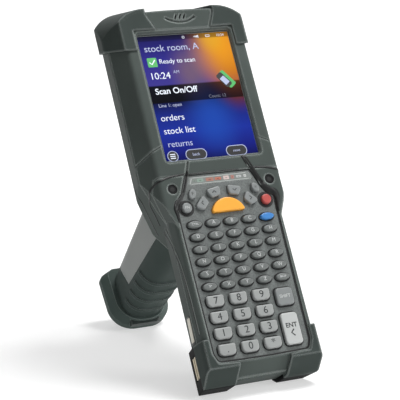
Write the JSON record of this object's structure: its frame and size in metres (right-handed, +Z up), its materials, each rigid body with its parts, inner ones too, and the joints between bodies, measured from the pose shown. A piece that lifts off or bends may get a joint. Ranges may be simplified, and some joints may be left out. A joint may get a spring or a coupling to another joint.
{
  "type": "portable barcode data terminal",
  "caption": "Hand-held data terminal with pistol grip, touch display, keypad, scan window, trigger, battery with latch and rubber bumpers",
  "frame": {"origin": "Bottom centre of the bounding box, on the surface that the terminal rests on.", "axes": "+X is the terminal's right as its display faces the user, +Z up; the display faces -Y and upwards, and the grip goes back and down towards +Y."},
  "size_m": [0.0858, 0.201, 0.2022],
  "materials": {
    "housing": "fine textured, satin",
    "cell": "smooth",
    "bumper_rubber": "matt moulded rubber",
    "glass": "polished",
    "lcd": "glossy",
    "circuit": "matt solder mask",
    "grey_key": "satin",
    "scan_yellow": "satin",
    "key_red": "satin",
    "light_key": "satin",
    "dark_key": "satin silicone",
    "key_blue": "satin",
    "steel": "blackened",
    "gasket": "matt",
    "panel": "fine speckle, matt",
    "scan_glass": "polished, dark red",
    "contact": "plated",
    "palm_rubber": "matt moulded rubber with ribs",
    "grip_plastic": "fine textured, satin",
    "trigger_plastic": "satin",
    "spring_steel": "bright"
  },
  "bodies": {
    "case": {"speaker_cover": "housing", "speaker": "cell", "front_housing": "housing", "left_head_bumper": "bumper_rubber", "left_tail_bumper": "bumper_rubber", "right_head_bumper": "bumper_rubber", "right_tail_bumper": "bumper_rubber", "touch_panel": "glass", "lcd_module": "lcd", "main_circuit_board": "circuit", "keypad_frame": "housing", "keypad_screws": "steel", "keypad_gasket": "gasket", "keypad_panel": "panel", "indicator_window": "glass", "keypad_circuit_board": "circuit", "scan_engine": "housing", "scan_window": "scan_glass", "rear_housing": "housing", "dock_contacts": "contact", "palm_grip": "palm_rubber", "left_grip_shell": "grip_plastic", "right_grip_shell": "grip_plastic", "case_screws": "steel", "trigger_pin": "spring_steel", "trigger_spring": "spring_steel", "grip_circuit_board": "circuit"},
    "trigger": {"trigger": "trigger_plastic"},
    "battery": {"battery_pack": "cell", "battery_cap": "grip_plastic"},
    "latch": {"battery_latch": "trigger_plastic"},
    "scan_key": {"scan_key": "scan_yellow"},
    "power_key": {"power_key": "key_red"},
    "enter_key": {"enter_key": "light_key"},
    "letter_keys_column_1": {"letter_keys_column_1": "dark_key"},
    "shift_key": {"shift_key": "grey_key"},
    "key_5": {"key_5": "light_key"},
    "nav_up_key": {"nav_up_key": "grey_key"},
    "left_app_key": {"left_app_key": "grey_key"},
    "function_key": {"function_key": "grey_key"},
    "blue_key": {"blue_key": "key_blue"},
    "right_app_key": {"right_app_key": "grey_key"},
    "nav_left_key": {"nav_left_key": "grey_key"},
    "nav_down_key": {"nav_down_key": "grey_key"},
    "nav_right_key": {"nav_right_key": "grey_key"},
    "key_7": {"key_7": "light_key"},
    "key_8": {"key_8": "light_key"},
    "key_9": {"key_9": "light_key"},
    "key_4": {"key_4": "light_key"},
    "key_6": {"key_6": "light_key"},
    "key_1": {"key_1": "light_key"},
    "key_2": {"key_2": "light_key"},
    "key_3": {"key_3": "light_key"},
    "point_key": {"point_key": "light_key"},
    "key_0": {"key_0": "light_key"},
    "star_key": {"star_key": "light_key"},
    "letter_keys_column_2": {"letter_keys_column_2": "dark_key"},
    "letter_keys_column_3": {"letter_keys_column_3": "dark_key"},
    "letter_keys_column_4": {"letter_keys_column_4": "dark_key"},
    "letter_keys_column_5": {"letter_keys_column_5": "dark_key"}
  },
  "joints": [
    {"name": "trigger_pull", "type": "hinge", "parent": "case", "child": "trigger", "pos_m": [0, 0.00921, 0.09817], "axis": [-1, 0, 0], "range_deg": [0, 10], "stiffness_Nm_per_rad": 0.4, "springref_deg": -8.59},
    {"name": "battery_slide", "type": "slide", "parent": "case", "child": "battery", "axis": [0, 0.7758, -0.631], "range_m": [0, 0.073]},
    {"name": "latch_slide", "type": "slide", "parent": "battery", "child": "latch", "axis": [0, 0.7758, -0.631], "range_m": [0, 0.0015], "stiffness_N_per_m": 800, "springref_m": -0.001},
    {"name": "scan_key_press", "type": "slide", "parent": "case", "child": "scan_key", "axis": [0, 0.8852, -0.4652], "range_m": [0, 0.0009], "stiffness_N_per_m": 1000, "springref_m": -0.001},
    {"name": "power_key_press", "type": "slide", "parent": "case", "child": "power_key", "axis": [0, 0.8852, -0.4652], "range_m": [0, 0.0009], "stiffness_N_per_m": 1000, "springref_m": -0.001},
    {"name": "enter_key_press", "type": "slide", "parent": "case", "child": "enter_key", "axis": [0, 0.8852, -0.4652], "range_m": [0, 0.0009], "stiffness_N_per_m": 1000, "springref_m": -0.001},
    {"name": "letter_keys_column_1_press", "type": "slide", "parent": "case", "child": "letter_keys_column_1", "axis": [0, 0.8852, -0.4652], "range_m": [0, 0.0009], "stiffness_N_per_m": 1000, "springref_m": -0.001},
    {"name": "shift_key_press", "type": "slide", "parent": "case", "child": "shift_key", "axis": [0, 0.8852, -0.4652], "range_m": [0, 0.0009], "stiffness_N_per_m": 1000, "springref_m": -0.001},
    {"name": "key_5_press", "type": "slide", "parent": "case", "child": "key_5", "axis": [0, 0.8852, -0.4652], "range_m": [0, 0.0009], "stiffness_N_per_m": 1000, "springref_m": -0.001},
    {"name": "nav_up_key_press", "type": "slide", "parent": "case", "child": "nav_up_key", "axis": [0, 0.8852, -0.4652], "range_m": [0, 0.0009], "stiffness_N_per_m": 1000, "springref_m": -0.001},
    {"name": "left_app_key_press", "type": "slide", "parent": "case", "child": "left_app_key", "axis": [0, 0.8852, -0.4652], "range_m": [0, 0.0009], "stiffness_N_per_m": 1000, "springref_m": -0.001},
    {"name": "function_key_press", "type": "slide", "parent": "case", "child": "function_key", "axis": [0, 0.8852, -0.4652], "range_m": [0, 0.0009], "stiffness_N_per_m": 1000, "springref_m": -0.001},
    {"name": "blue_key_press", "type": "slide", "parent": "case", "child": "blue_key", "axis": [0, 0.8852, -0.4652], "range_m": [0, 0.0009], "stiffness_N_per_m": 1000, "springref_m": -0.001},
    {"name": "right_app_key_press", "type": "slide", "parent": "case", "child": "right_app_key", "axis": [0, 0.8852, -0.4652], "range_m": [0, 0.0009], "stiffness_N_per_m": 1000, "springref_m": -0.001},
    {"name": "nav_left_key_press", "type": "slide", "parent": "case", "child": "nav_left_key", "axis": [0, 0.8852, -0.4652], "range_m": [0, 0.0009], "stiffness_N_per_m": 1000, "springref_m": -0.001},
    {"name": "nav_down_key_press", "type": "slide", "parent": "case", "child": "nav_down_key", "axis": [0, 0.8852, -0.4652], "range_m": [0, 0.0009], "stiffness_N_per_m": 1000, "springref_m": -0.001},
    {"name": "nav_right_key_press", "type": "slide", "parent": "case", "child": "nav_right_key", "axis": [0, 0.8852, -0.4652], "range_m": [0, 0.0009], "stiffness_N_per_m": 1000, "springref_m": -0.001},
    {"name": "key_7_press", "type": "slide", "parent": "case", "child": "key_7", "axis": [0, 0.8852, -0.4652], "range_m": [0, 0.0009], "stiffness_N_per_m": 1000, "springref_m": -0.001},
    {"name": "key_8_press", "type": "slide", "parent": "case", "child": "key_8", "axis": [0, 0.8852, -0.4652], "range_m": [0, 0.0009], "stiffness_N_per_m": 1000, "springref_m": -0.001},
    {"name": "key_9_press", "type": "slide", "parent": "case", "child": "key_9", "axis": [0, 0.8852, -0.4652], "range_m": [0, 0.0009], "stiffness_N_per_m": 1000, "springref_m": -0.001},
    {"name": "key_4_press", "type": "slide", "parent": "case", "child": "key_4", "axis": [0, 0.8852, -0.4652], "range_m": [0, 0.0009], "stiffness_N_per_m": 1000, "springref_m": -0.001},
    {"name": "key_6_press", "type": "slide", "parent": "case", "child": "key_6", "axis": [0, 0.8852, -0.4652], "range_m": [0, 0.0009], "stiffness_N_per_m": 1000, "springref_m": -0.001},
    {"name": "key_1_press", "type": "slide", "parent": "case", "child": "key_1", "axis": [0, 0.8852, -0.4652], "range_m": [0, 0.0009], "stiffness_N_per_m": 1000, "springref_m": -0.001},
    {"name": "key_2_press", "type": "slide", "parent": "case", "child": "key_2", "axis": [0, 0.8852, -0.4652], "range_m": [0, 0.0009], "stiffness_N_per_m": 1000, "springref_m": -0.001},
    {"name": "key_3_press", "type": "slide", "parent": "case", "child": "key_3", "axis": [0, 0.8852, -0.4652], "range_m": [0, 0.0009], "stiffness_N_per_m": 1000, "springref_m": -0.001},
    {"name": "point_key_press", "type": "slide", "parent": "case", "child": "point_key", "axis": [0, 0.8852, -0.4652], "range_m": [0, 0.0009], "stiffness_N_per_m": 1000, "springref_m": -0.001},
    {"name": "key_0_press", "type": "slide", "parent": "case", "child": "key_0", "axis": [0, 0.8852, -0.4652], "range_m": [0, 0.0009], "stiffness_N_per_m": 1000, "springref_m": -0.001},
    {"name": "star_key_press", "type": "slide", "parent": "case", "child": "star_key", "axis": [0, 0.8852, -0.4652], "range_m": [0, 0.0009], "stiffness_N_per_m": 1000, "springref_m": -0.001},
    {"name": "letter_keys_column_2_press", "type": "slide", "parent": "case", "child": "letter_keys_column_2", "axis": [0, 0.8852, -0.4652], "range_m": [0, 0.0009], "stiffness_N_per_m": 1000, "springref_m": -0.001},
    {"name": "letter_keys_column_3_press", "type": "slide", "parent": "case", "child": "letter_keys_column_3", "axis": [0, 0.8852, -0.4652], "range_m": [0, 0.0009], "stiffness_N_per_m": 1000, "springref_m": -0.001},
    {"name": "letter_keys_column_4_press", "type": "slide", "parent": "case", "child": "letter_keys_column_4", "axis": [0, 0.8852, -0.4652], "range_m": [0, 0.0009], "stiffness_N_per_m": 1000, "springref_m": -0.001},
    {"name": "letter_keys_column_5_press", "type": "slide", "parent": "case", "child": "letter_keys_column_5", "axis": [0, 0.8852, -0.4652], "range_m": [0, 0.0009], "stiffness_N_per_m": 1000, "springref_m": -0.001}
  ]
}
